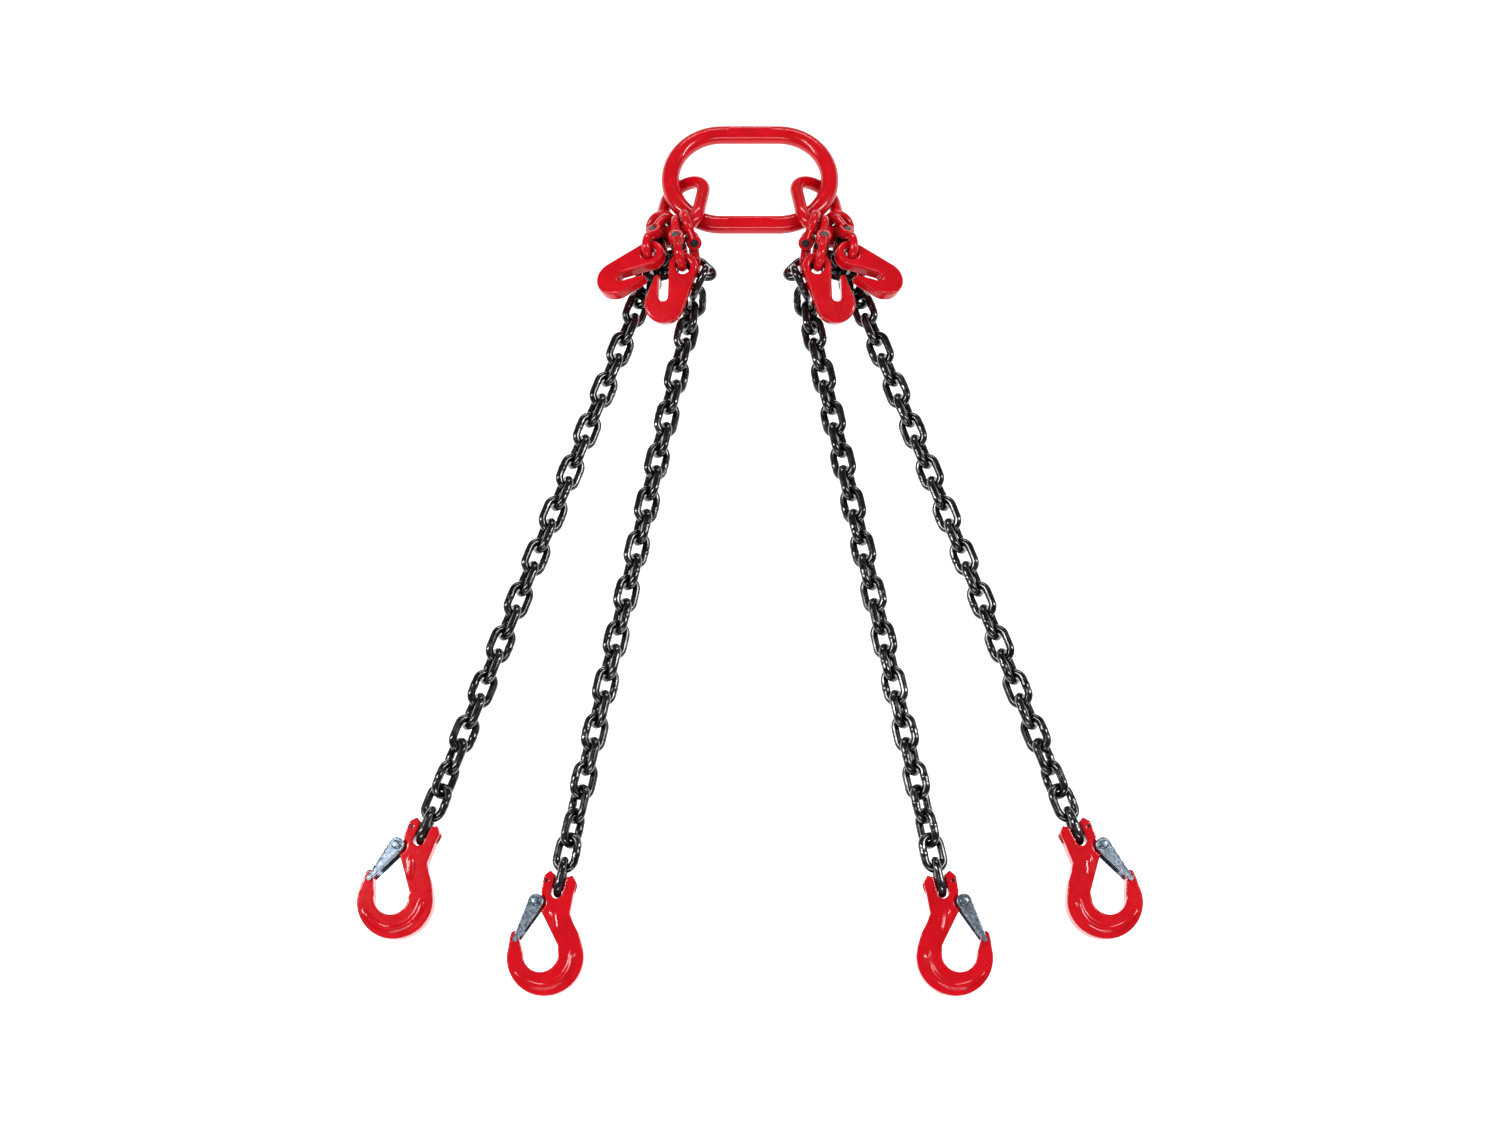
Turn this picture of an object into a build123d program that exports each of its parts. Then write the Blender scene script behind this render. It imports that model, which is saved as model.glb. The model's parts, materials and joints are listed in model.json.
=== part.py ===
from build123d import *
import os
from math import asin, atan2, cos, degrees, hypot, radians, sin

# Four leg chain sling, grade 80, for 8 mm chain, lying flat with its legs fanned out.
# Frame: +X to the right leg side, +Y towards the master link, +Z up, floor at Z = 0.
# The left side is built and mirrored about the YZ plane for the right side.

# ---- master link and intermediate link (centreline sizes) ----
MASTER_LENGTH = 168.0
MASTER_WIDTH = 108.0
MASTER_BAR = 19.2
MASTER_FLAT_DEPTH = 1.2
MASTER_FLAT_LENGTH = 46.0
MASTER_PLACE = ((0.0, 416.7, 28.3), (-1.6, 0.0, 0.0))
INTER_LENGTH = 76.0
INTER_WIDTH = 46.0
INTER_BAR = 14.0
INTER_PLACE = ((-71.3, 382.6, 30.7), (-25.1, -27.8, -9.5))

# ---- chain ----
BAR = 8.0
INNER_WIDTH = 11.0
INNER_LENGTH = 24.4
PITCH = 24.0
CHAIN_HEIGHT = 12.2
CLEVIS_HEIGHT = 13.7
CHAIN_ROLL = 32.0
TWIST_BY_LINK = {21: 8.0, 22: 22.0, 23: 40.0, 24: 58.0}
RISING_LINKS = 5
LAST_LINK = 24
SEGMENTS = {"chain_upper": range(-4, 5), "chain_middle": range(5, 15), "chain_lower": range(15, 25)}

# ---- connecting coupling ----
HALF_BAR = 9.0
CROWN_RADIUS = 13.5
CROWN_CENTRE = 16.0
LUG_RADIUS = 8.0
LUG_WIDTH = 4.8
LUG_GAP = 0.3
BUSH_HALF = 4.2
PIN_RADIUS = 4.0
RUNNING_FIT = 0.05

# ---- grab hook ----
EYE_INNER = 7.5
EYE_OUTER = 15.0
GRAB_BOWL = (-18.5, -39.0)
GRAB_BOWL_RADIUS = 20.0
GRAB_TIP = (-26.2, -12.0)
GRAB_TIP_RADIUS = 3.6
GRAB_SLOT = (-24.3, -14.6)
GRAB_SLOT_END = -36.0
GRAB_THICKNESS = 14.0
GRAB_EDGE = 2.4

# ---- clevis sling hook ----
HOOK_THICKNESS = 17.0
HOOK_EDGE = 4.5
BOWL_OUTER = (4.5, -69.5, 36.0)
BOWL_INNER = (-0.5, -68.0, 16.5)
CLEVIS_SLOT = 10.4
CLEVIS_SLOT_BOTTOM = -14.5
CLEVIS_PIN_RADIUS = 5.0
CLEVIS_PIN_LENGTH = 29.0
ROLL_PIN_X = -12.2
ROLL_PIN_RADIUS = 1.6
HOOK_DROOP = 2.3

# ---- latch, rivet and spring ----
LATCH_PIVOT = (-16.8, -21.5)
LATCH_TIP = (-27.0, -60.5)
LATCH_HEAD_RADIUS = 7.2
LATCH_TIP_RADIUS = 2.2
LATCH_SHEET = 1.5
LATCH_INSIDE = HOOK_THICKNESS + 0.6
WEB_END = 29.0
BOSS_HALF = 3.6
BOSS_POCKET = 9.4
RIVET_RADIUS = 2.4
RIVET_HEAD = 4.2
RIVET_HEAD_HEIGHT = 1.3
SPRING_OUTER = 6.2
SPRING_INNER = 4.6


def box_between(low, high):
    size = [b - a for a, b in zip(low, high)]
    middle = [(a + b) / 2 for a, b in zip(low, high)]
    return Pos(*middle) * Box(*size)


def rod(start, end, radius):
    """A round bar between two points."""
    start, end = Vector(*start), Vector(*end)
    axis = end - start
    return Plane(origin=start, z_dir=axis) * extrude(Circle(radius), axis.length)


def cylinder_x(x0, x1, radius, y=0.0, z=0.0):
    return rod((x0, y, z), (x1, y, z), radius)


def cylinder_z(x, y, z0, z1, radius):
    return rod((x, y, z0), (x, y, z1), radius)


def oval_ring(length, width, bar):
    """A link in the XY plane with its long axis along Y; length and width are of its centreline."""
    bend = width / 2
    straight = length - width
    end = Pos(0, straight / 2, 0) * Torus(bend, bar / 2, major_angle=180, align=None)
    ring = end + Rot(0, 0, 180) * end
    for x in (-bend, bend):
        ring += rod((x, -straight / 2, 0), (x, straight / 2, 0), bar / 2)
    return ring


def master_link():
    """The forged head ring, long axis along X, with flats pressed on the faces of its long bars."""
    ring = Rot(0, 0, 90) * oval_ring(MASTER_LENGTH, MASTER_WIDTH, MASTER_BAR)
    top = MASTER_BAR / 2
    for side in (-1, 1):
        for face in (-1, 1):
            y = side * MASTER_WIDTH / 2
            z = face * (top - MASTER_FLAT_DEPTH / 2)
            cutter = Box(MASTER_FLAT_LENGTH, MASTER_BAR * 1.2, MASTER_FLAT_DEPTH + 0.01)
            ring -= Pos(0, y, z) * cutter
    return ring


def chain_link():
    return oval_ring(INNER_LENGTH + BAR, INNER_WIDTH + BAR, BAR)


def coupling_half():
    """The upper half of a coupling: load pin along X at the origin, crown towards +Y."""
    outer_lug = BUSH_HALF + 2 * LUG_WIDTH + 2 * LUG_GAP
    inner_face = BUSH_HALF + LUG_GAP
    outer_face = outer_lug - LUG_WIDTH
    bar = HALF_BAR / 2
    crown = Pos(0, CROWN_CENTRE, 0) * Torus(CROWN_RADIUS, bar, major_angle=180, align=None)
    outer_arm = rod((CROWN_RADIUS, CROWN_CENTRE, 0), (outer_face + LUG_WIDTH / 2, 3.0, 0), bar)
    inner_arm = rod((-CROWN_RADIUS, CROWN_CENTRE, 0), (-inner_face - LUG_WIDTH / 2, 3.0, 0), bar)
    half = crown + outer_arm + inner_arm
    half += Pos(CROWN_RADIUS, CROWN_CENTRE, 0) * Sphere(bar)
    half += Pos(-CROWN_RADIUS, CROWN_CENTRE, 0) * Sphere(bar)
    room = LUG_RADIUS + 0.5
    half -= cylinder_x(-30, -outer_face + LUG_GAP / 2, room)
    half -= cylinder_x(-inner_face, outer_face, room)
    half += cylinder_x(outer_face, outer_lug, LUG_RADIUS)
    half += cylinder_x(-inner_face - LUG_WIDTH, -inner_face, LUG_RADIUS)
    half -= cylinder_x(-30, 30, PIN_RADIUS + RUNNING_FIT)
    return half


def coupling_pin():
    """The load pin, and the bush that stands between the two inner lugs."""
    reach = BUSH_HALF + 2 * LUG_WIDTH + 2 * LUG_GAP + 0.3
    pin = cylinder_x(-reach, reach, PIN_RADIUS)
    bush = cylinder_x(-BUSH_HALF, BUSH_HALF, LUG_RADIUS - 0.5)
    bush -= cylinder_x(-BUSH_HALF, BUSH_HALF, PIN_RADIUS + RUNNING_FIT)
    return [pin, bush]


def disc(x, y, radius):
    return Pos(x, y) * Circle(radius)


def polygon(*points):
    """A filled outline that always faces up, whichever way round its points run."""
    pairs = zip(points, points[1:] + points[:1])
    area = sum(a[0] * b[1] - b[0] * a[1] for a, b in pairs)
    ordered = points if area > 0 else points[::-1]
    return Polygon(*ordered, align=None)


def plate(face, z0, z1):
    """A plate of the given outline between two heights."""
    return Pos(0, 0, z0) * extrude(face, z1 - z0, dir=(0, 0, 1))


def tangent_hull(a, b):
    """The outline round two circles, each given as x, y, radius."""
    (xa, ya, ra), (xb, yb, rb) = a, b
    span = hypot(xb - xa, yb - ya)
    heading = atan2(yb - ya, xb - xa)
    lean = asin((ra - rb) / span)
    points = []
    for side in (1, -1):
        angle = heading + side * (radians(90) - lean)
        near = (xa + ra * cos(angle), ya + ra * sin(angle))
        far = (xb + rb * cos(angle), yb + rb * sin(angle))
        points += [near, far] if side == 1 else [far, near]
    return disc(*a) + disc(*b) + polygon(*points)


def soft_edges(solid, radius):
    """Round the long edges of a forging; a smaller radius is used where the full one can't fit."""
    edges = solid.edges().filter_by(Plane.XY)
    for size in (radius, radius * 0.7, radius * 0.45):
        try:
            rounded = fillet(edges, size)
            if rounded.is_valid:
                return rounded
        except Exception:
            continue
    return solid


def grab_hook():
    """The shortening hook: eye centre at the origin, bowl towards -Y, its slot open towards +Y."""
    bowl = (*GRAB_BOWL, GRAB_BOWL_RADIUS)
    face = tangent_hull((0, 0, EYE_OUTER), bowl)
    face += tangent_hull(bowl, (*GRAB_TIP, GRAB_TIP_RADIUS))
    middle = sum(GRAB_SLOT) / 2
    half = (GRAB_SLOT[1] - GRAB_SLOT[0]) / 2
    bottom = GRAB_SLOT_END + half
    face -= Pos(middle, bottom + 20) * Rectangle(2 * half, 40)
    face -= disc(middle, bottom, half)
    face -= disc(0, 0, EYE_INNER)
    solid = plate(face, -GRAB_THICKNESS / 2, GRAB_THICKNESS / 2)
    return soft_edges(solid, GRAB_EDGE)


def hook_face():
    """The sling hook's outline: clevis pin at the origin along X, bowl towards -Y, mouth to -X."""
    neck = polygon((-15.8, 4), (-11, 10.2), (-6.5, 7.5), (6.5, 7.5), (10.6, 10.2), (16.2, 4),
                   (15.7, -6), (16.8, -25), (22.2, -33), (28.8, -40.2), (34.0, -48.5), (30, -62),
                   (10, -62), (-12, -27), (-14.6, -11))
    tip = polygon((-31.0, -74), (-32.4, -62), (-32.6, -55.4), (-30.2, -52.4), (-27.0, -53.4),
                  (-24.2, -58.0), (-16.8, -71.0), (-13.0, -80.0), (-20, -86))
    opening = polygon((-10.4, -28.9), (13.6, -56.9), (16.0, -67.0), (-0.5, -68.0), (-16.6, -71.4),
                      (-24.2, -58.0), (-27.0, -53.4), (-30.2, -52.4), (-33, -54), (-60, -54),
                      (-60, -30), (-13, -30))
    face = neck + disc(*BOWL_OUTER)
    face -= opening
    face -= disc(*BOWL_INNER)
    face += tip - disc(*BOWL_INNER)
    face += disc(*LATCH_PIVOT, 6.6)
    return face


def sling_hook():
    solid = plate(hook_face(), -HOOK_THICKNESS / 2, HOOK_THICKNESS / 2)
    solid = soft_edges(solid, HOOK_EDGE)
    slot_top = 30.0
    bottom = CLEVIS_SLOT_BOTTOM + CLEVIS_SLOT / 2
    half = CLEVIS_SLOT / 2
    solid -= box_between((-half, bottom, -20), (half, slot_top, 20))
    solid -= cylinder_z(0, bottom, -20, 20, half)
    solid -= cylinder_x(-CLEVIS_PIN_LENGTH / 2 - 0.1, 30, CLEVIS_PIN_RADIUS + RUNNING_FIT)
    solid -= cylinder_z(ROLL_PIN_X, 0, -20, 20, ROLL_PIN_RADIUS + RUNNING_FIT)
    for side in (-1, 1):
        low, high = sorted((side * BOSS_HALF, side * 20))
        solid -= cylinder_z(*LATCH_PIVOT, low, high, BOSS_POCKET)
    solid -= cylinder_z(*LATCH_PIVOT, -20, 20, RIVET_RADIUS + RUNNING_FIT)
    return solid


def hook_pins():
    """Clevis load pin, the roll pin that crosses and locks it, and the latch rivet."""
    load_pin = cylinder_x(-CLEVIS_PIN_LENGTH / 2, CLEVIS_PIN_LENGTH / 2, CLEVIS_PIN_RADIUS)
    load_pin -= cylinder_z(ROLL_PIN_X, 0, -20, 20, ROLL_PIN_RADIUS + RUNNING_FIT)
    reach = HOOK_THICKNESS / 2 - 0.5
    roll_pin = cylinder_z(ROLL_PIN_X, 0, -reach, reach, ROLL_PIN_RADIUS)
    outside = LATCH_INSIDE / 2 + LATCH_SHEET + 0.1
    rivet = cylinder_z(*LATCH_PIVOT, -outside, outside, RIVET_RADIUS)
    for side in (-1, 1):
        low, high = sorted((side * outside, side * (outside + RIVET_HEAD_HEIGHT)))
        rivet += cylinder_z(*LATCH_PIVOT, low, high, RIVET_HEAD)
    return [load_pin, roll_pin, rivet]


def latch():
    """A pressed channel: two tapered cheeks astride the hook, joined by a web on the outer edge."""
    head = (*LATCH_PIVOT, LATCH_HEAD_RADIUS)
    cheek = tangent_hull(head, (*LATCH_TIP, LATCH_TIP_RADIUS))
    inner = LATCH_INSIDE / 2
    solid = plate(cheek, inner, inner + LATCH_SHEET) + plate(cheek, -inner - LATCH_SHEET, -inner)
    web_face = cheek - offset(cheek, -LATCH_SHEET)
    along = atan2(LATCH_TIP[1] - LATCH_PIVOT[1], LATCH_TIP[0] - LATCH_PIVOT[0])
    to_web = Pos(*LATCH_PIVOT) * Rot(0, 0, degrees(along))
    web_face &= to_web * Pos(WEB_END / 2 + 2, -10) * Rectangle(WEB_END - 4, 20)
    solid += plate(web_face, -inner - 0.5, inner + 0.5)
    solid -= cylinder_z(*LATCH_PIVOT, -20, 20, RIVET_RADIUS + RUNNING_FIT)
    return solid


def latch_spring():
    """The torsion spring's coil round the rivet above the boss, and the leg that pushes the latch."""
    z0 = BOSS_HALF + 0.4
    z1 = LATCH_INSIDE / 2 - 0.4
    coil = cylinder_z(*LATCH_PIVOT, z0, z1, SPRING_OUTER)
    coil -= cylinder_z(*LATCH_PIVOT, z0, z1, SPRING_INNER)
    along = atan2(LATCH_TIP[1] - LATCH_PIVOT[1], LATCH_TIP[0] - LATCH_PIVOT[0])
    middle = (z0 + z1) / 2
    to_latch = Pos(*LATCH_PIVOT) * Rot(0, 0, degrees(along))
    return coil + to_latch * rod((3.5, -4.1, middle), (15.0, -3.0, middle), 0.75)


# ---- placing ----
# Places are (x, y, z) and intrinsic X, Y, Z turns in degrees, for the left side.
COUPLINGS = {
    "left_outer_hook_coupling": {"place": ((-96.8, 338.5, 42.8), (-147.8, -54.6, -116.6)), "fold": 15.1},
    "left_outer_chain_coupling": {"place": ((-92.7, 350.8, 14.9), (-133.5, -24.3, -179.0)), "fold": 33.7},
    "left_inner_hook_coupling": {"place": ((-74.3, 330.6, 49.3), (-33.5, 80.9, 17.6)), "fold": -5.1},
    "left_inner_chain_coupling": {"place": ((-59.4, 340.2, 37.7), (107.6, -70.7, 68.4)), "fold": -11.8},
}
GRAB_HOOKS = {
    "left_outer": ((-102.3, 314.6, 53.6), (171.7, 15.5, -98.3)),
    "left_inner": ((-68.3, 302.0, 51.6), (12.6, -6.8, -1.7)),
}
LEGS = {
    "left_outer": {
        "first": (-118.5, 273.2), "heading": 19.35, "hook_heading": 23.5,
        "loose": [
            ((-90.9, 324.3, 16.6), (160.9, 47.8, 105.7)),
            ((-92.4, 313.4, 23.4), (163.9, 0.4, -114.1)),
            ((-106.0, 305.4, 19.1), (-128.2, -6.3, 174.8)),
            ((-112.1, 293.0, 11.4), (-12.9, -36.2, -1.4)),
        ],
    },
    "left_inner": {
        "first": (-66.2, 245.2), "heading": 11.3, "hook_heading": 13.1,
        "loose": [
            ((-51.1, 310.1, 33.4), (-30.2, 13.4, 38.3)),
            ((-52.1, 292.0, 37.8), (122.3, 65.2, -86.9)),
            ((-58.4, 278.6, 23.7), (53.5, -2.4, -1.8)),
            ((-62.4, 264.0, 12.7), (171.2, 59.3, -172.7)),
        ],
    },
}


def located(place):
    return Location(*place)


def straight_link_place(leg, number):
    """Where a link of the straight run lies; even links face up more, odd ones stand on edge."""
    heading = leg["heading"]
    x, y = leg["first"]
    run = number * PITCH
    rise = max(0, number - LAST_LINK + RISING_LINKS) / RISING_LINKS
    z = CHAIN_HEIGHT + rise * (CLEVIS_HEIGHT - CHAIN_HEIGHT)
    roll = CHAIN_ROLL + TWIST_BY_LINK.get(number, 0.0) - 90.0 * (number % 2)
    spot = Pos(x - run * sin(radians(heading)), y - run * cos(radians(heading)), z)
    return spot * Rot(0, 0, -heading) * Rot(0, roll, 0)


def link_places(leg):
    """The places of all links of a leg, by number: the loose ones come before link 0."""
    places = {}
    for number, place in zip(range(-len(leg["loose"]), 0), leg["loose"]):
        places[number] = located(place)
    for number in range(0, LAST_LINK + 1):
        places[number] = straight_link_place(leg, number)
    return places


def sling_hook_place(leg):
    """The sling hook hangs on the last link's crown and lies with its bowl on the floor."""
    last = straight_link_place(leg, LAST_LINK).position
    heading = radians(leg["heading"])
    reach = INNER_LENGTH / 2 - CLEVIS_PIN_RADIUS - 0.3
    x, y = last.X - reach * sin(heading), last.Y - reach * cos(heading)
    return Pos(x, y, last.Z) * Rot(0, 0, -leg["hook_heading"]) * Rot(HOOK_DROOP, 0, 0)


def left_side_nodes():
    """Every node of the left side, as a list of separate solids each."""
    intermediate = oval_ring(INTER_LENGTH, INTER_WIDTH, INTER_BAR)
    nodes = {"intermediate_link_left": [located(INTER_PLACE) * intermediate]}
    half = coupling_half()
    for name, coupling in COUPLINGS.items():
        upper = located(coupling["place"])
        lower = upper * Rot(coupling["fold"], 0, 0)
        nodes[name + "_upper"] = [upper * half]
        nodes[name + "_lower"] = [lower * Rot(0, 0, 180) * half]
        nodes[name + "_pin"] = [lower * piece for piece in coupling_pin()]
    grab = grab_hook()
    for name, place in GRAB_HOOKS.items():
        nodes[name + "_grab_hook"] = [located(place) * grab]
    link = chain_link()
    hook_nodes = {"sling_hook": [sling_hook()], "hook_pins": hook_pins(),
                  "latch": [latch()], "latch_spring": [latch_spring()]}
    for name, leg in LEGS.items():
        places = link_places(leg)
        for segment, numbers in SEGMENTS.items():
            nodes[f"{name}_{segment}"] = [places[number] * link for number in numbers]
        for piece, solids in hook_nodes.items():
            nodes[f"{name}_{piece}"] = [sling_hook_place(leg) * solid for solid in solids]
    return nodes


def all_nodes():
    nodes = {"master_link": [located(MASTER_PLACE) * master_link()]}
    for name, solids in left_side_nodes().items():
        nodes[name] = solids
        nodes[name.replace("left", "right")] = [mirror(solid, about=Plane.YZ) for solid in solids]
    return nodes


def origin_shift(nodes):
    """The move along Y that brings the middle of the whole object's box to Y = 0."""
    boxes = [solid.bounding_box() for solids in nodes.values() for solid in solids]
    low = min(box.min.Y for box in boxes)
    high = max(box.max.Y for box in boxes)
    floor = min(box.min.Z for box in boxes)
    return Pos(0, -(low + high) / 2, -floor)


def main():
    os.makedirs("parts", exist_ok=True)
    nodes = all_nodes()
    shift = origin_shift(nodes)
    for name, solids in nodes.items():
        export_step(Compound(children=[shift * solid for solid in solids]), f"parts/{name}.step")
    print(len(nodes), "nodes, shift", shift.position)


if __name__ == "__main__":
    main()
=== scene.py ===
import json
import math
import random

import bmesh
import bpy
import numpy as np
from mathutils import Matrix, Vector


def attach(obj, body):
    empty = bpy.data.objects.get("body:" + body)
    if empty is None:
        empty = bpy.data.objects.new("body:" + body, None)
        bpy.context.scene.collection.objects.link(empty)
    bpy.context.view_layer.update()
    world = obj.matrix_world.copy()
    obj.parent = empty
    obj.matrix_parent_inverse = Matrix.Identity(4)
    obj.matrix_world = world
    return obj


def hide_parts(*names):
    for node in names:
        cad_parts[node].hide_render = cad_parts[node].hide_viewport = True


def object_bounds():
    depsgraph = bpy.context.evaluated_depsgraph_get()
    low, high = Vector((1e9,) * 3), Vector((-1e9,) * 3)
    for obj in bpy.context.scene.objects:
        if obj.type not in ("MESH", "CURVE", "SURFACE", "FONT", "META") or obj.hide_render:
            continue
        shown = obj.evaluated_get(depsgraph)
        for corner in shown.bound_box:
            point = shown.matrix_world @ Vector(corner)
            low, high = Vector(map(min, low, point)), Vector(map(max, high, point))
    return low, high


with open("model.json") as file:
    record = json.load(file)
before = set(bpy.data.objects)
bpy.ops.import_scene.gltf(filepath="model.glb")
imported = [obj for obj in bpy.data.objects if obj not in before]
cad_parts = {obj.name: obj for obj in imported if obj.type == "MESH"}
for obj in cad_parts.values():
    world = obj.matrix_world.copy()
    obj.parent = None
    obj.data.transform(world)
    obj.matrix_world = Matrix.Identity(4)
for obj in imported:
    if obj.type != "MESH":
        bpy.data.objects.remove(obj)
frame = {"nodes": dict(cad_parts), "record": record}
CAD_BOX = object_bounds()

MM = 0.001
LEGS = ("left_outer", "left_inner", "right_inner", "right_outer")
SEGMENTS = ("chain_upper", "chain_middle", "chain_lower")
JOINTS = {joint["name"]: joint for joint in frame["record"]["behaviour"]["joints"]}
BODY_OF = {node: body for body, nodes in frame["record"]["behaviour"]["bodies"].items() for node in nodes}

# ---- sizes in millimetres, in each piece's own frame ----
LINK_BAR = 8.0
LINK_PITCH_LENGTH = 32.4
LINK_WIDTH = 19.0
LATCH_PIVOT = (-16.8, -21.5)
LATCH_TIP = (-27.0, -60.5)
LATCH_FACE = 10.3
LATCH_HEAD = 7.2
LATCH_TAPER = 0.124
BOWL = (2.0, -69.5)
BEAD_RADIUS = 28.0
NECK_RIB = ((-1.5, -22.0), (10.5, -50.0))
HEM_INSET = 0.8
HEM_RADIUS = 0.55
RIB_RADIUS = 0.36
RIB_STEP = 1.6
RIVET_CAP = ((0.0, 4.5), (0.6, 4.5), (1.2, 4.2), (1.5, 3.2), (1.65, 1.6), (1.68, 0.05))  # height, radius

# ---- skins of the forgings: voxel size in millimetres, smoothing passes ----
RING_SKIN = (1.0, 4)
HOOK_SKIN = (0.7, 5)
COUPLING_SKIN = (0.55, 4)
SAME_POINT = 1e-6  # metres

# ---- camera ----
CAMERA_DISTANCE = 2.093
CAMERA_ELEVATION = 71.5
CAMERA_LENS = 50.0
MASTER_TOP_FROM_AIM = 0.4803
SHEET_DROP = 0.15  # the white sheet lies below the sling, so hooks swung down stay in view


# ---- strip lights: name, place in metres, width and length in metres, watts ----
LIGHTS = (("left_strip", (-1.5, 0.0, 1.5), (0.2, 1.6), 38),
          ("right_strip", (1.5, 0.2, 1.5), (0.2, 1.4), 30),
          ("front_strip", (0.0, -1.9, 1.2), (1.6, 0.18), 19),
          ("back_strip", (0.0, 2.1, 1.2), (1.4, 0.18), 19))


# ------------------------------------------------------------------ materials
def new_material(name, **values):
    """A principled material; each value is set on the shader's own socket."""
    material = bpy.data.materials.new(name)
    material.use_nodes = True
    shader = material.node_tree.nodes["Principled BSDF"]
    for socket, value in values.items():
        shader.inputs[socket.replace("_", " ")].default_value = value
    return material, material.node_tree, shader


def noise(tree, scale, detail=4.0, roughness=0.5, stretch=None):
    coordinates = tree.nodes.new("ShaderNodeTexCoord")
    node = tree.nodes.new("ShaderNodeTexNoise")
    node.inputs["Scale"].default_value = scale
    node.inputs["Detail"].default_value = detail
    node.inputs["Roughness"].default_value = roughness
    if stretch:
        mapping = tree.nodes.new("ShaderNodeMapping")
        mapping.inputs["Scale"].default_value = stretch
        tree.links.new(coordinates.outputs["Object"], mapping.inputs["Vector"])
        tree.links.new(mapping.outputs["Vector"], node.inputs["Vector"])
    else:
        tree.links.new(coordinates.outputs["Object"], node.inputs["Vector"])
    return node.outputs["Fac"]


def ramp(tree, value, stops):
    node = tree.nodes.new("ShaderNodeValToRGB")
    elements = node.color_ramp.elements
    while len(elements) < len(stops):
        elements.new(0.5)
    for element, (position, colour) in zip(elements, stops):
        element.position = position
        element.color = colour if len(colour) == 4 else (*colour, 1.0)
    tree.links.new(value, node.inputs["Fac"])
    return node.outputs["Color"]


def grey(value):
    return (value, value, value, 1.0)


def bump(tree, shader, height, strength, distance):
    node = tree.nodes.new("ShaderNodeBump")
    node.inputs["Strength"].default_value = strength
    node.inputs["Distance"].default_value = distance
    tree.links.new(height, node.inputs["Height"])
    tree.links.new(node.outputs["Normal"], shader.inputs["Normal"])
    return node


def two_bumps(tree, shader, coarse, fine):
    """Two bumps, one feeding the other: each is (height, strength, distance)."""
    first = bump(tree, shader, *coarse)
    second = bump(tree, shader, *fine)
    tree.links.new(first.outputs["Normal"], second.inputs["Normal"])


def red_coat():
    """Glossy red powder coat: slight orange peel, thicker and darker in places, over forged steel."""
    material, tree, shader = new_material("red_powder_coat", Coat_Weight=0.35, Coat_Roughness=0.03,
                                          Specular_IOR_Level=0.12)
    tone = noise(tree, 38.0, 5.0, 0.6)
    colour = ramp(tree, tone, [(0.30, (0.39, 0.0012, 0.005)),
                               (0.55, (0.46, 0.0018, 0.007)),
                               (0.75, (0.52, 0.0030, 0.011))])
    tree.links.new(colour, shader.inputs["Base Color"])
    rough = ramp(tree, noise(tree, 140.0, 4.0, 0.6), [(0.35, grey(0.16)), (0.7, grey(0.30))])
    tree.links.new(rough, shader.inputs["Roughness"])
    two_bumps(tree, shader,
              (noise(tree, 160.0, 3.0, 0.55), 0.35, 0.0004),
              (noise(tree, 900.0, 2.0), 0.12, 0.0001))
    return material


def chain_steel():
    """Dark oiled alloy chain: blue-black scale with brighter rubbed places."""
    material, tree, shader = new_material("oiled_chain_steel", Metallic=1.0,
                                          Coat_Weight=0.5, Coat_Roughness=0.12)
    tone = noise(tree, 120.0, 5.0, 0.55)
    colour = ramp(tree, tone, [(0.34, (0.014, 0.014, 0.016)),
                               (0.54, (0.042, 0.042, 0.046)),
                               (0.72, (0.125, 0.125, 0.130))])
    tree.links.new(colour, shader.inputs["Base Color"])
    rough = ramp(tree, noise(tree, 200.0, 4.0, 0.6), [(0.3, grey(0.13)), (0.7, grey(0.30))])
    tree.links.new(rough, shader.inputs["Roughness"])
    two_bumps(tree, shader,
              (noise(tree, 130.0, 3.0, 0.5), 0.22, 0.0003),
              (noise(tree, 1200.0, 3.0), 0.10, 0.0001))
    return material


def dark_steel():
    """Phosphated pins and bushes: near black, dull, with a fine grain."""
    material, tree, shader = new_material("phosphated_pin_steel", Metallic=0.9,
                                          Coat_Weight=0.2, Coat_Roughness=0.2)
    tone = noise(tree, 300.0, 4.0, 0.6)
    colour = ramp(tree, tone, [(0.3, (0.006, 0.006, 0.008)),
                               (0.7, (0.03, 0.03, 0.035))])
    tree.links.new(colour, shader.inputs["Base Color"])
    rough = ramp(tree, noise(tree, 420.0, 3.0), [(0.3, grey(0.28)), (0.7, grey(0.5))])
    tree.links.new(rough, shader.inputs["Roughness"])
    two_bumps(tree, shader,
              (noise(tree, 500.0, 3.0), 0.25, 0.0002),
              (noise(tree, 1500.0, 2.0), 0.15, 0.0001))
    return material


def zinc_sheet():
    """Bright zinc plate: cool grey, cloudy, with drawn lines along the pressing."""
    material, tree, shader = new_material("zinc_plated_sheet", Metallic=1.0,
                                          Coat_Weight=0.1, Coat_Roughness=0.2)
    tone = noise(tree, 260.0, 5.0, 0.65)
    colour = ramp(tree, tone, [(0.28, (0.09, 0.12, 0.16)),
                               (0.52, (0.22, 0.27, 0.33)),
                               (0.74, (0.48, 0.54, 0.60))])
    tree.links.new(colour, shader.inputs["Base Color"])
    rough = ramp(tree, noise(tree, 420.0, 4.0, 0.6), [(0.3, grey(0.22)), (0.7, grey(0.42))])
    tree.links.new(rough, shader.inputs["Roughness"])
    two_bumps(tree, shader,
              (noise(tree, 300.0, 3.0), 0.25, 0.0003),
              (noise(tree, 900.0, 2.0, stretch=(1, 0.2, 1)), 0.2, 0.0001))
    return material


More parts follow.
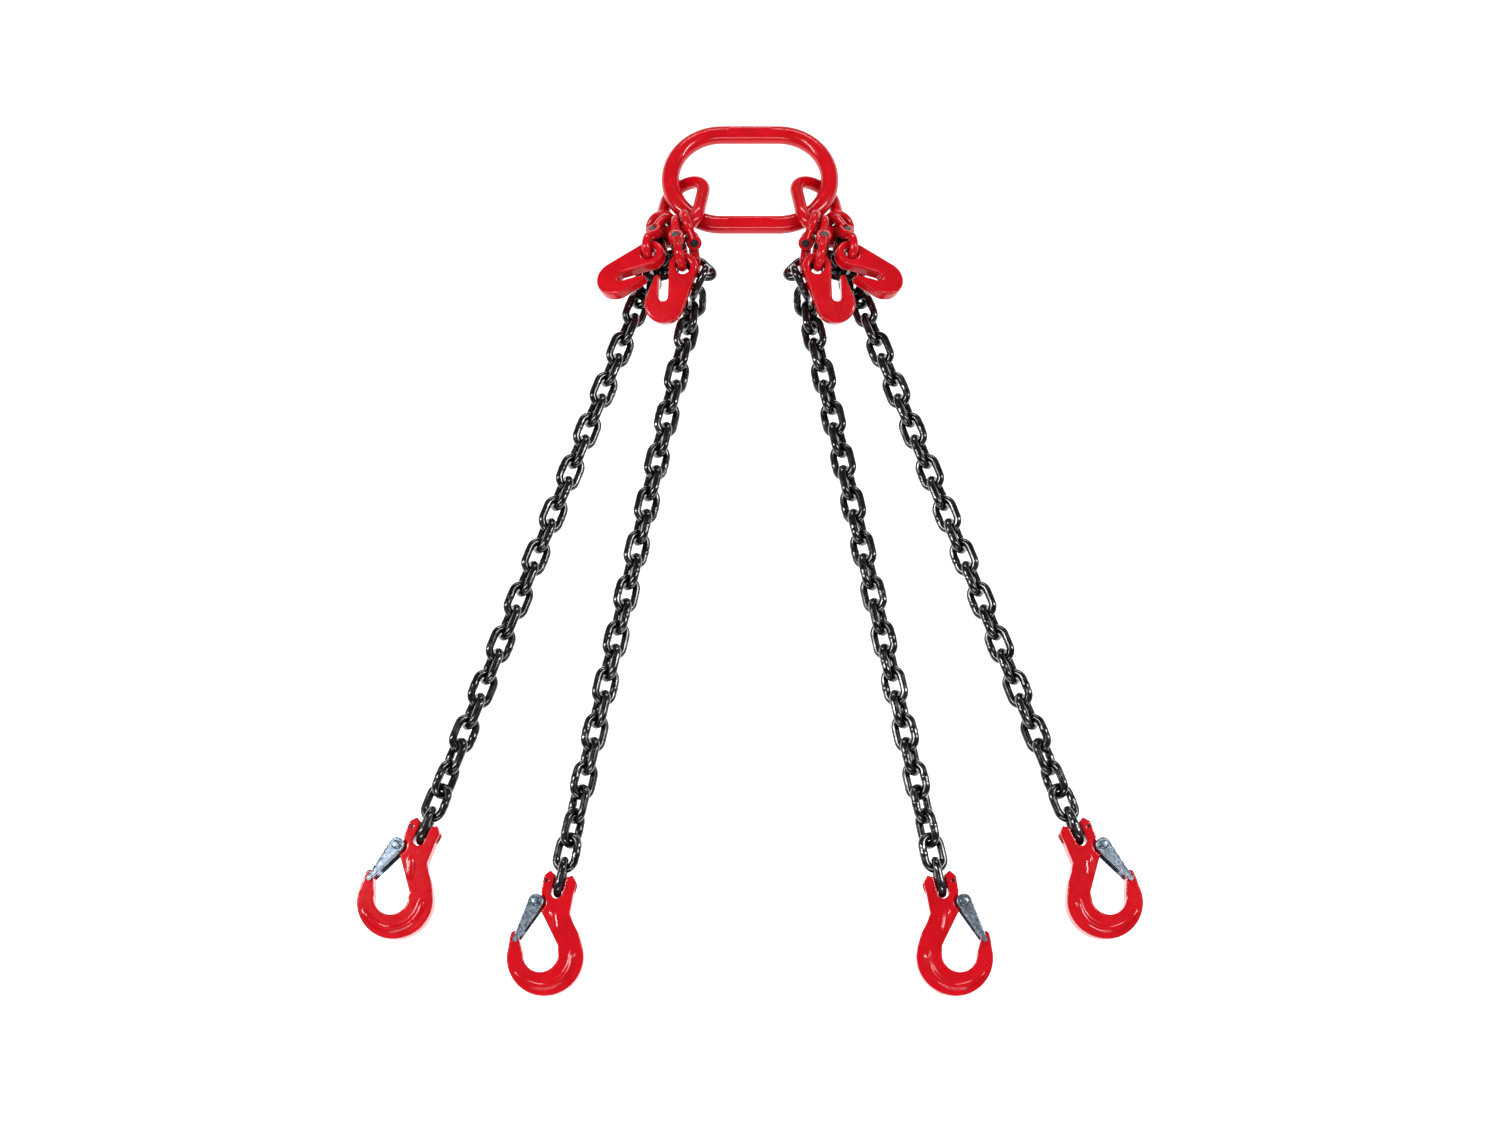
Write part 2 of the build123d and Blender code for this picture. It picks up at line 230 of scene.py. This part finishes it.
def spring_wire():
    """Bright drawn wire."""
    material, tree, shader = new_material("drawn_spring_wire", Metallic=1.0)
    colour = ramp(tree, noise(tree, 500.0, 3.0), [(0.3, (0.28, 0.28, 0.30)), (0.7, (0.5, 0.5, 0.52))])
    tree.links.new(colour, shader.inputs["Base Color"])
    rough = ramp(tree, noise(tree, 700.0, 2.0), [(0.3, grey(0.25)), (0.7, grey(0.4))])
    tree.links.new(rough, shader.inputs["Roughness"])
    bump(tree, shader, noise(tree, 1500.0, 2.0), 0.2, 0.0001)
    return material


MATERIALS = {"red_coat": red_coat(), "chain_steel": chain_steel(), "dark_steel": dark_steel(),
             "zinc_sheet": zinc_sheet(), "spring_steel": spring_wire()}
SLOT_OF = {part["node"]: part["material_slot"] for part in frame["record"]["subparts"]}


# ------------------------------------------------------------------ mesh helpers
def mesh_object(name, vertices, faces):
    mesh = bpy.data.meshes.new(name)
    mesh.from_pydata([tuple(v) for v in vertices], [], faces)
    mesh.validate()
    obj = bpy.data.objects.new(name, mesh)
    bpy.context.scene.collection.objects.link(obj)
    return obj


def copy_of(node, name):
    source = frame["nodes"][node]
    obj = bpy.data.objects.new(name, source.data.copy())
    bpy.context.scene.collection.objects.link(obj)
    return obj


def apply_modifiers(obj):
    depsgraph = bpy.context.evaluated_depsgraph_get()
    mesh = bpy.data.meshes.new_from_object(obj.evaluated_get(depsgraph))
    old = obj.data
    obj.modifiers.clear()
    obj.data = mesh
    bpy.data.meshes.remove(old)


def weld(obj):
    bm = bmesh.new()
    bm.from_mesh(obj.data)
    bmesh.ops.remove_doubles(bm, verts=bm.verts, dist=SAME_POINT)
    bmesh.ops.recalc_face_normals(bm, faces=bm.faces)
    bm.to_mesh(obj.data)
    bm.free()


def shade(obj):
    for polygon in obj.data.polygons:
        polygon.use_smooth = True


def dress(obj, node):
    """Gives a piece the material of its node's slot, smooth shading and its body, and hides the CAD node
    it stands in for.
    """
    slot_name = SLOT_OF[node]
    obj.data.materials.clear()
    obj.data.materials.append(MATERIALS[slot_name])
    shade(obj)
    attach(obj, BODY_OF[node])
    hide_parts(node)


def join_into(obj, others):
    """Adds other objects' meshes to obj and removes them."""
    bm = bmesh.new()
    bm.from_mesh(obj.data)
    for other in others:
        bm.from_mesh(other.data)
        bpy.data.objects.remove(other)
    bm.to_mesh(obj.data)
    bm.free()


def fuse_and_soften(obj, skin):
    """Fuses overlapping solids into one skin and softens its edges, as a forging's are."""
    voxel, passes = skin
    remesh = obj.modifiers.new("skin", "REMESH")
    remesh.mode = "VOXEL"
    remesh.voxel_size = voxel * MM
    soften = obj.modifiers.new("soften", "SMOOTH")
    soften.factor = 0.5
    soften.iterations = passes
    apply_modifiers(obj)


def tube(points, radii, name, closed=False, sides=12):
    """A round tube through points in metres; radii may vary along it."""
    points = [Vector(p) for p in points]
    count = len(points)
    vertices, faces = [], []
    normal = None
    for i, point in enumerate(points):
        before = points[i - 1] if i or closed else points[0]
        after = points[(i + 1) % count] if i < count - 1 or closed else points[-1]
        tangent = (after - before).normalized()
        if normal is None:
            normal = tangent.orthogonal().normalized()
        normal = (normal - tangent * normal.dot(tangent)).normalized()
        binormal = tangent.cross(normal)
        for k in range(sides):
            angle = 2 * math.pi * k / sides
            offset = normal * math.cos(angle) + binormal * math.sin(angle)
            vertices.append(point + offset * radii[i])
    rings = count if closed else count - 1
    for i in range(rings):
        a, b = i * sides, ((i + 1) % count) * sides
        for k in range(sides):
            j = (k + 1) % sides
            faces.append((a + k, a + j, b + j, b + k))
    if not closed:
        faces.append(tuple(range(sides))[::-1])
        faces.append(tuple((count - 1) * sides + k for k in range(sides)))
    return mesh_object(name, vertices, faces)


def islands(node):
    """The vertex clouds of a node's separate solids, in metres."""
    bm = bmesh.new()
    bm.from_mesh(frame["nodes"][node].data)
    bmesh.ops.remove_doubles(bm, verts=bm.verts, dist=SAME_POINT)
    bm.verts.ensure_lookup_table()
    seen, clouds = set(), []
    for start in bm.verts:
        if start.index in seen:
            continue
        stack, cloud = [start], []
        seen.add(start.index)
        while stack:
            vertex = stack.pop()
            cloud.append(vertex.co[:])
            for edge in vertex.link_edges:
                other = edge.other_vert(vertex)
                if other.index not in seen:
                    seen.add(other.index)
                    stack.append(other)
        clouds.append(np.array(cloud))
    bm.free()
    return clouds


def cloud_frame(cloud):
    """Centre, and width, length and thickness axes, of a link's vertices."""
    values, vectors = np.linalg.eigh(np.cov((cloud - cloud.mean(0)).T))
    thickness, width, length = vectors[:, 0], vectors[:, 1], vectors[:, 2]
    basis = np.stack([width, length, thickness], axis=1)
    if np.linalg.det(basis) < 0:
        basis[:, 2] *= -1
    local = cloud @ basis
    centre = basis @ ((local.min(0) + local.max(0)) / 2)
    return centre, basis


# ------------------------------------------------------------------ chain
def link_outline(steps_bend=14, steps_side=10):
    """Centreline of a link in millimetres, width along X and length along Y."""
    bend = LINK_WIDTH / 2
    straight = LINK_PITCH_LENGTH - LINK_WIDTH
    points = []
    for i in range(steps_bend):
        angle = math.pi * i / steps_bend
        points.append((bend * math.cos(angle), straight / 2 + bend * math.sin(angle)))
    for i in range(steps_side):
        points.append((-bend, straight / 2 - straight * i / steps_side))
    for i in range(steps_bend):
        angle = math.pi + math.pi * i / steps_bend
        points.append((bend * math.cos(angle), -straight / 2 + bend * math.sin(angle)))
    for i in range(steps_side):
        points.append((bend, -straight / 2 + straight * i / steps_side))
    return points


def weld_swell(x, y):
    """How much thicker the bar is near the butt weld in the middle of one side."""
    if x < LINK_WIDTH / 2 - 0.5:
        return 0.0
    return 0.35 * math.exp(-(y / 2.0) ** 2) + 0.16 * math.exp(-((abs(y) - 1.9) / 0.55) ** 2)


def chain_run(node, seed):
    """All links of one run: round bars with a swollen weld and a slight random variation in thickness."""
    random.seed(seed)
    outline = link_outline()
    parts = []
    for cloud in islands(node):
        centre, basis = cloud_frame(cloud)
        side = random.choice((-1, 1))
        radii = [(LINK_BAR / 2 + min(weld_swell(x, y), 0.45) - 0.02 * random.random()) * MM
                 for x, y in outline]
        points = [centre + basis @ np.array([side * x * MM, y * MM, 0.0]) for x, y in outline]
        parts.append(tube(points, radii, "link", closed=True, sides=20))
    first = parts.pop(0)
    first.name = node + "_links"
    join_into(first, parts)
    weld(first)
    dress(first, node)


# ------------------------------------------------------------------ forgings
def forging(node, skin, extras=()):
    """A CAD piece and any extra shapes fused into one softened skin, in the piece's place."""
    obj = copy_of(node, node + "_forging")
    weld(obj)
    join_into(obj, extras)
    fuse_and_soften(obj, skin)
    dress(obj, node)


def hook_frame(leg):
    """Local millimetres to world metres for a leg's sling hook; the right legs are mirrored."""
    sign = 1 if leg.startswith("left") else -1
    swing = JOINTS[leg + "_hook_swing"]
    opening = JOINTS[leg + "_latch_open"]
    x_axis = sign * Vector(swing["axis"])
    z_axis = sign * Vector(opening["axis"])
    y_axis = sign * z_axis.cross(x_axis)
    origin = Vector(swing["pos_m"])
    return lambda x, y, z=0.0: origin + (x_axis * x + y_axis * y + z_axis * z) * MM


def bead(place, path, height, width, name):
    """A raised bead on both flat faces of a hook, tapering out at each end."""
    beads = []
    for face in (-1, 1):
        points = [place(x, y, face * height) for x, y in path]
        last = len(points) - 1
        slopes = [min(90, 25 + 22 * min(i, last - i)) for i in range(last + 1)]
        radii = [width * MM * math.sin(math.radians(slope)) for slope in slopes]
        beads.append(tube(points, radii, name, sides=14))
    return beads


def sling_hook_forging(leg, place):
    """The hook with the forged bead round its bowl and the soft rib down its neck."""
    turns = [math.radians(a) for a in range(-140, 30, 6)]
    arc = [(BOWL[0] + BEAD_RADIUS * math.cos(a), BOWL[1] + BEAD_RADIUS * math.sin(a)) for a in turns]
    (x0, y0), (x1, y1) = NECK_RIB
    rib = [(x0 + (x1 - x0) * t / 10, y0 + (y1 - y0) * t / 10) for t in range(11)]
    extras = bead(place, arc, 6.2, 4.0, "bead") + bead(place, rib, 5.2, 4.6, "rib")
    forging(leg + "_sling_hook", HOOK_SKIN, extras)


def latch_pressing(leg, place):
    """The latch with a raised hem along both edges of its cheeks and fine ribs across the outer edge."""
    along = math.atan2(LATCH_TIP[1] - LATCH_PIVOT[1], LATCH_TIP[0] - LATCH_PIVOT[0])
    reach = math.hypot(LATCH_TIP[1] - LATCH_PIVOT[1], LATCH_TIP[0] - LATCH_PIVOT[0])

    def spot(s, t, z):
        x = LATCH_PIVOT[0] + s * math.cos(along) - t * math.sin(along)
        y = LATCH_PIVOT[1] + s * math.sin(along) + t * math.cos(along)
        return place(x, y, z)

    parts = []
    for face in (-1, 1):
        z = face * LATCH_FACE
        for side in (-1, 1):
            along_edge = np.linspace(1.0, reach - 2.0, 12)
            edge = [spot(s, side * (LATCH_HEAD - LATCH_TAPER * s - HEM_INSET), z) for s in along_edge]
            parts.append(tube(edge, [HEM_RADIUS * MM] * len(edge), "hem", sides=10))
        head = LATCH_HEAD - HEM_INSET
        turn = [spot(-head * math.sin(a), head * math.cos(a), z) for a in np.linspace(0.0, math.pi, 16)]
        parts.append(tube(turn, [HEM_RADIUS * MM] * len(turn), "head_hem", sides=10))
        for s in np.arange(7.0, 33.0, RIB_STEP):
            half = LATCH_HEAD - LATCH_TAPER * s
            rib = [spot(s, -half + 0.6, z), spot(s + 0.5, -half + 2.6, z)]
            parts.append(tube(rib, [RIB_RADIUS * MM] * 2, "rib", sides=8))
    obj = copy_of(leg + "_latch", leg + "_latch_pressing")
    join_into(obj, parts)
    dress(obj, leg + "_latch")


def rivet_caps(leg, place):
    """The rivet's bright domed heads over the latch cheeks."""
    caps = []
    for face in (-1, 1):
        points = [place(*LATCH_PIVOT, face * (LATCH_FACE + 0.1 + height)) for height, radius in RIVET_CAP]
        caps.append(tube(points, [radius * MM for height, radius in RIVET_CAP], "cap", sides=28))
    first = caps.pop(0)
    first.name = leg + "_rivet_caps"
    join_into(first, caps)
    first.data.materials.append(MATERIALS["zinc_sheet"])
    shade(first)
    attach(first, BODY_OF[leg + "_sling_hook"])


for index, leg in enumerate(LEGS):
    for run, segment in enumerate(SEGMENTS):
        chain_run(f"{leg}_{segment}", 100 * index + run)
    place = hook_frame(leg)
    sling_hook_forging(leg, place)
    latch_pressing(leg, place)
    rivet_caps(leg, place)
    forging(leg + "_grab_hook", HOOK_SKIN)
    for kind in ("chain", "hook"):
        for half in ("upper", "lower"):
            forging(f"{leg}_{kind}_coupling_{half}", COUPLING_SKIN)
for node in ("master_link", "intermediate_link_left", "intermediate_link_right"):
    forging(node, RING_SKIN)

# The pins and springs stay as the CAD has them, with only their material given.
for node, obj in frame["nodes"].items():
    if SLOT_OF[node] in ("dark_steel", "spring_steel"):
        for material_slot in obj.material_slots:
            material_slot.material = MATERIALS[SLOT_OF[node]]


# ------------------------------------------------------------------ floor, light and camera
def make_floor():
    size, z = 6.0, -SHEET_DROP
    corners = [(-size, -size, z), (size, -size, z), (size, size, z), (-size, size, z)]
    floor = mesh_object("studio_floor", corners, [(0, 1, 2, 3)])
    material, tree, shader = new_material("pale_floor", Roughness=0.75)
    colour = ramp(tree, noise(tree, 3.0, 2.0), [(0.3, grey(0.93)), (0.7, grey(0.96))])
    tree.links.new(colour, shader.inputs["Base Color"])
    shader.inputs["Emission Color"].default_value = (1, 1, 1, 1)
    shader.inputs["Emission Strength"].default_value = 0.6
    floor.data.materials.append(material)


def area_light(name, position, size, power):
    """A strip light aimed at the middle of the sling."""
    light = bpy.data.lights.new(name, "AREA")
    light.shape = "RECTANGLE"
    light.size, light.size_y = size
    light.energy = power
    obj = bpy.data.objects.new(name, light)
    bpy.context.scene.collection.objects.link(obj)
    obj.location = position
    obj.rotation_euler = (-Vector(position)).to_track_quat("-Z", "Y").to_euler()


def make_world():
    world = bpy.data.worlds.new("studio")
    bpy.context.scene.world = world
    world.use_nodes = True
    background = world.node_tree.nodes["Background"]
    background.inputs["Color"].default_value = (1, 1, 1, 1)
    background.inputs["Strength"].default_value = 0.18


def make_camera():
    low, high = CAD_BOX
    aim = Vector((0.0, high[1] - MASTER_TOP_FROM_AIM, 0.0))
    tilt = math.radians(CAMERA_ELEVATION)
    camera = bpy.data.cameras.new("camera")
    camera.lens = CAMERA_LENS
    camera.sensor_width = 36.0
    obj = bpy.data.objects.new("camera", camera)
    bpy.context.scene.collection.objects.link(obj)
    offset = Vector((0.0, -math.cos(tilt), math.sin(tilt))) * CAMERA_DISTANCE
    obj.location = aim + offset
    obj.rotation_euler = (-offset).to_track_quat("-Z", "Y").to_euler()
    bpy.context.scene.camera = obj
    bpy.context.scene.view_settings.view_transform = "Standard"


make_floor()
make_world()
for name, position, size, power in LIGHTS:
    area_light(name, position, size, power)
make_camera()
